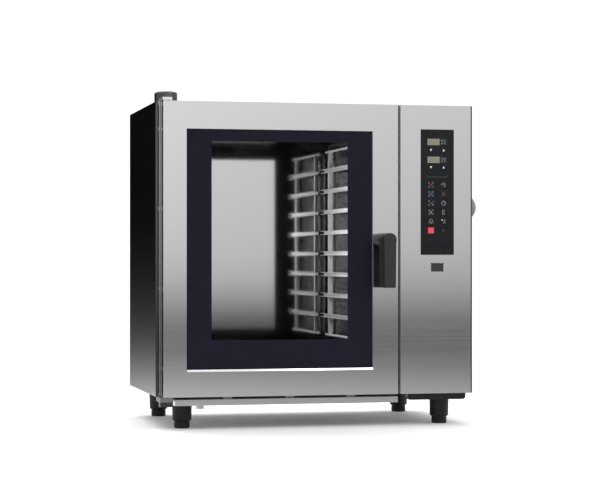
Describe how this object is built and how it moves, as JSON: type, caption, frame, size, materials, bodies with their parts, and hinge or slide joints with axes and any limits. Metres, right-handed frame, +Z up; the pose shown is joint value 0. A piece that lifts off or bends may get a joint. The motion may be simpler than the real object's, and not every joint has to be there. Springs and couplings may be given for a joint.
{
  "type": "combi steamer oven",
  "caption": "Freestanding combi steamer oven with a left-hinged glazed door, lever handle, side control panel, rack ladders, fans, vent chimney and adjustable feet.",
  "frame": {"origin": "on the floor, under the middle of the whole oven's box", "axes": "+X from the hinge side to the control side, +Y from the door to the back, +Z up"},
  "size_m": [1.045, 0.756, 1.098],
  "materials": {
    "casing_steel": "brushed",
    "door_steel": "brushed",
    "cavity_steel": "satin",
    "chimney_steel": "satin",
    "tray_steel": "satin",
    "fixings_steel": "satin",
    "mineral_wool": "matt",
    "silicone_seal": "matt",
    "printed_glass": "gloss",
    "clear_glass": "gloss",
    "display_glass": "gloss",
    "handle_plastic": "satin",
    "black_plastic": "matt",
    "keypad_film": "gloss",
    "fan_steel": "satin",
    "motor_aluminium": "cast",
    "heater_alloy": "heat-darkened",
    "circuit_board": "matt",
    "inlet_brass": "satin",
    "cap_plastic": "satin"
  },
  "bodies": {
    "oven": {"base_pan": "casing_steel", "casing_left": "casing_steel", "casing_right": "casing_steel", "casing_top": "casing_steel", "casing_rear": "casing_steel", "front_frame": "casing_steel", "control_fascia": "casing_steel", "cavity_liner": "cavity_steel", "air_baffle": "cavity_steel", "side_racks": "cavity_steel", "cavity_drain": "cavity_steel", "vent_chimney": "chimney_steel", "drip_tray": "tray_steel", "casing_screws": "fixings_steel", "hinge_brackets": "fixings_steel", "latch_striker": "fixings_steel", "steam_pipe": "fixings_steel", "insulation": "mineral_wool", "door_gasket": "silicone_seal", "display_lenses": "display_glass", "intake_plinth": "black_plastic", "leg_sleeves": "black_plastic", "data_socket": "black_plastic", "cable_gland": "black_plastic", "keypad_panel": "keypad_film", "fan_motors": "motor_aluminium", "heater_rings": "heater_alloy", "control_board": "circuit_board", "water_inlets": "inlet_brass", "side_cap": "cap_plastic"},
    "door": {"door_skin": "door_steel", "door_inner_frame": "door_steel", "outer_glass": "printed_glass", "inner_glass": "clear_glass", "latch_housing": "motor_aluminium"},
    "handle": {"handle_lever": "handle_plastic", "handle_shaft": "fixings_steel"},
    "fan_lower": {"fan_wheel_lower": "fan_steel"},
    "fan_upper": {"fan_wheel_upper": "fan_steel"},
    "socket_cover": {"socket_flap": "black_plastic"},
    "key_upper_down": {"key_upper_down": "keypad_film"},
    "key_upper_up": {"key_upper_up": "keypad_film"},
    "key_lower_down": {"key_lower_down": "keypad_film"},
    "key_lower_up": {"key_lower_up": "keypad_film"},
    "key_row1_left": {"key_row1_left": "keypad_film"},
    "key_row1_right": {"key_row1_right": "keypad_film"},
    "key_row2_left": {"key_row2_left": "keypad_film"},
    "key_row2_right": {"key_row2_right": "keypad_film"},
    "key_row3_left": {"key_row3_left": "keypad_film"},
    "key_row3_right": {"key_row3_right": "keypad_film"},
    "key_row4_left": {"key_row4_left": "keypad_film"},
    "key_row4_right": {"key_row4_right": "keypad_film"},
    "key_row5_left": {"key_row5_left": "keypad_film"},
    "key_row5_right": {"key_row5_right": "keypad_film"},
    "key_row6_left": {"key_row6_left": "keypad_film"},
    "key_row6_right": {"key_row6_right": "keypad_film"},
    "foot_front_left": {"foot_front_left": "black_plastic"},
    "foot_front_right": {"foot_front_right": "black_plastic"},
    "foot_rear_left": {"foot_rear_left": "black_plastic"},
    "foot_rear_right": {"foot_rear_right": "black_plastic"}
  },
  "joints": [
    {"name": "door_swing", "type": "hinge", "parent": "oven", "child": "door", "pos_m": [-0.4925, -0.264, 0.5615], "axis": [0, 0, -1], "range_deg": [0, 135]},
    {"name": "handle_turn", "type": "hinge", "parent": "door", "child": "handle", "pos_m": [0.1975, -0.286, 0.591], "axis": [0, 1, 0], "range_deg": [0, 90]},
    {"name": "fan_lower_spin", "type": "hinge", "parent": "oven", "child": "fan_lower", "pos_m": [0.2285, 0.014, 0.41], "axis": [1, 0, 0], "continuous": true},
    {"name": "fan_upper_spin", "type": "hinge", "parent": "oven", "child": "fan_upper", "pos_m": [0.2285, 0.014, 0.76], "axis": [1, 0, 0], "continuous": true},
    {"name": "socket_flap_lift", "type": "hinge", "parent": "oven", "child": "socket_cover", "pos_m": [0.379, -0.29, 0.5153], "axis": [-1, 0, 0], "range_deg": [0, 120]},
    {"name": "key_upper_down_press", "type": "slide", "parent": "oven", "child": "key_upper_down", "axis": [0, 1, 0], "range_m": [0, 0.0008], "stiffness_N_per_m": 2500},
    {"name": "key_upper_up_press", "type": "slide", "parent": "oven", "child": "key_upper_up", "axis": [0, 1, 0], "range_m": [0, 0.0008], "stiffness_N_per_m": 2500},
    {"name": "key_lower_down_press", "type": "slide", "parent": "oven", "child": "key_lower_down", "axis": [0, 1, 0], "range_m": [0, 0.0008], "stiffness_N_per_m": 2500},
    {"name": "key_lower_up_press", "type": "slide", "parent": "oven", "child": "key_lower_up", "axis": [0, 1, 0], "range_m": [0, 0.0008], "stiffness_N_per_m": 2500},
    {"name": "key_row1_left_press", "type": "slide", "parent": "oven", "child": "key_row1_left", "axis": [0, 1, 0], "range_m": [0, 0.0008], "stiffness_N_per_m": 2500},
    {"name": "key_row1_right_press", "type": "slide", "parent": "oven", "child": "key_row1_right", "axis": [0, 1, 0], "range_m": [0, 0.0008], "stiffness_N_per_m": 2500},
    {"name": "key_row2_left_press", "type": "slide", "parent": "oven", "child": "key_row2_left", "axis": [0, 1, 0], "range_m": [0, 0.0008], "stiffness_N_per_m": 2500},
    {"name": "key_row2_right_press", "type": "slide", "parent": "oven", "child": "key_row2_right", "axis": [0, 1, 0], "range_m": [0, 0.0008], "stiffness_N_per_m": 2500},
    {"name": "key_row3_left_press", "type": "slide", "parent": "oven", "child": "key_row3_left", "axis": [0, 1, 0], "range_m": [0, 0.0008], "stiffness_N_per_m": 2500},
    {"name": "key_row3_right_press", "type": "slide", "parent": "oven", "child": "key_row3_right", "axis": [0, 1, 0], "range_m": [0, 0.0008], "stiffness_N_per_m": 2500},
    {"name": "key_row4_left_press", "type": "slide", "parent": "oven", "child": "key_row4_left", "axis": [0, 1, 0], "range_m": [0, 0.0008], "stiffness_N_per_m": 2500},
    {"name": "key_row4_right_press", "type": "slide", "parent": "oven", "child": "key_row4_right", "axis": [0, 1, 0], "range_m": [0, 0.0008], "stiffness_N_per_m": 2500},
    {"name": "key_row5_left_press", "type": "slide", "parent": "oven", "child": "key_row5_left", "axis": [0, 1, 0], "range_m": [0, 0.0008], "stiffness_N_per_m": 2500},
    {"name": "key_row5_right_press", "type": "slide", "parent": "oven", "child": "key_row5_right", "axis": [0, 1, 0], "range_m": [0, 0.0008], "stiffness_N_per_m": 2500},
    {"name": "key_row6_left_press", "type": "slide", "parent": "oven", "child": "key_row6_left", "axis": [0, 1, 0], "range_m": [0, 0.0008], "stiffness_N_per_m": 2500},
    {"name": "key_row6_right_press", "type": "slide", "parent": "oven", "child": "key_row6_right", "axis": [0, 1, 0], "range_m": [0, 0.0008], "stiffness_N_per_m": 2500},
    {"name": "foot_front_left_height", "type": "slide", "parent": "oven", "child": "foot_front_left", "axis": [0, 0, -1], "range_m": [0, 0.03]},
    {"name": "foot_front_right_height", "type": "slide", "parent": "oven", "child": "foot_front_right", "axis": [0, 0, -1], "range_m": [0, 0.03]},
    {"name": "foot_rear_left_height", "type": "slide", "parent": "oven", "child": "foot_rear_left", "axis": [0, 0, -1], "range_m": [0, 0.03]},
    {"name": "foot_rear_right_height", "type": "slide", "parent": "oven", "child": "foot_rear_right", "axis": [0, 0, -1], "range_m": [0, 0.03]}
  ]
}
